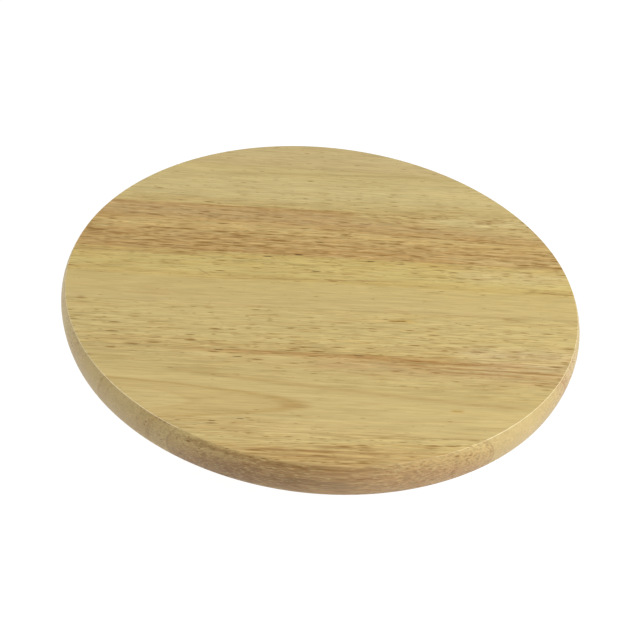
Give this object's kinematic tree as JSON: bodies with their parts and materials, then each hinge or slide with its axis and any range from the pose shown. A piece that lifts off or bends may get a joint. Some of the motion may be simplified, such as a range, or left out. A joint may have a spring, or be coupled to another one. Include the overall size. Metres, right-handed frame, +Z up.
{
  "type": "lazy susan turntable",
  "caption": "Round solid-wood lazy susan turntable: an edge-glued top with a bullnose edge spins freely on a hidden steel ball bearing over a smaller wooden base with rubber feet.",
  "frame": {"origin": "centre of the footprint, on the surface that the feet stand on", "axes": "+Z up, along the axis that the top spins about; +X along the grain of the staves"},
  "size_m": [0.305, 0.305, 0.045],
  "materials": {
    "top_rubberwood": "satin clear lacquer",
    "base_rubberwood": "satin clear lacquer",
    "zinc_plated_sheet": "bright zinc plate, mill-rolled sheet",
    "ball_steel": "ground and greased",
    "screw_steel": "zinc plate",
    "washer_steel": "zinc plate",
    "foot_rubber": "matt moulded"
  },
  "bodies": {
    "base": {"base_stave_1": "base_rubberwood", "base_stave_2": "base_rubberwood", "base_stave_3": "base_rubberwood", "base_stave_4": "base_rubberwood", "base_stave_5": "base_rubberwood", "rubber_foot_1": "foot_rubber", "rubber_foot_2": "foot_rubber", "rubber_foot_3": "foot_rubber", "rubber_foot_4": "foot_rubber", "lower_bearing_plate": "zinc_plated_sheet", "lower_plate_screws": "screw_steel", "foot_screws": "screw_steel", "foot_washers": "washer_steel"},
    "ball_row": {"bearing_balls": "ball_steel"},
    "turntable": {"top_stave_1": "top_rubberwood", "top_stave_2": "top_rubberwood", "top_stave_3": "top_rubberwood", "top_stave_4": "top_rubberwood", "top_stave_5": "top_rubberwood", "top_stave_6": "top_rubberwood", "top_stave_7": "top_rubberwood", "upper_bearing_plate": "zinc_plated_sheet", "upper_plate_screws": "screw_steel"}
  },
  "joints": [
    {"name": "turntable_spin", "type": "hinge", "parent": "base", "child": "turntable", "pos_m": [0, 0, 0.021], "axis": [0, 0, 1], "continuous": true},
    {"name": "ball_orbit", "type": "hinge", "parent": "base", "child": "ball_row", "pos_m": [0, 0, 0.021], "axis": [0, 0, 1], "continuous": true}
  ],
  "couplings": [
    {"joint": "ball_orbit", "follows": "turntable_spin", "ratio": 0.5}
  ]
}
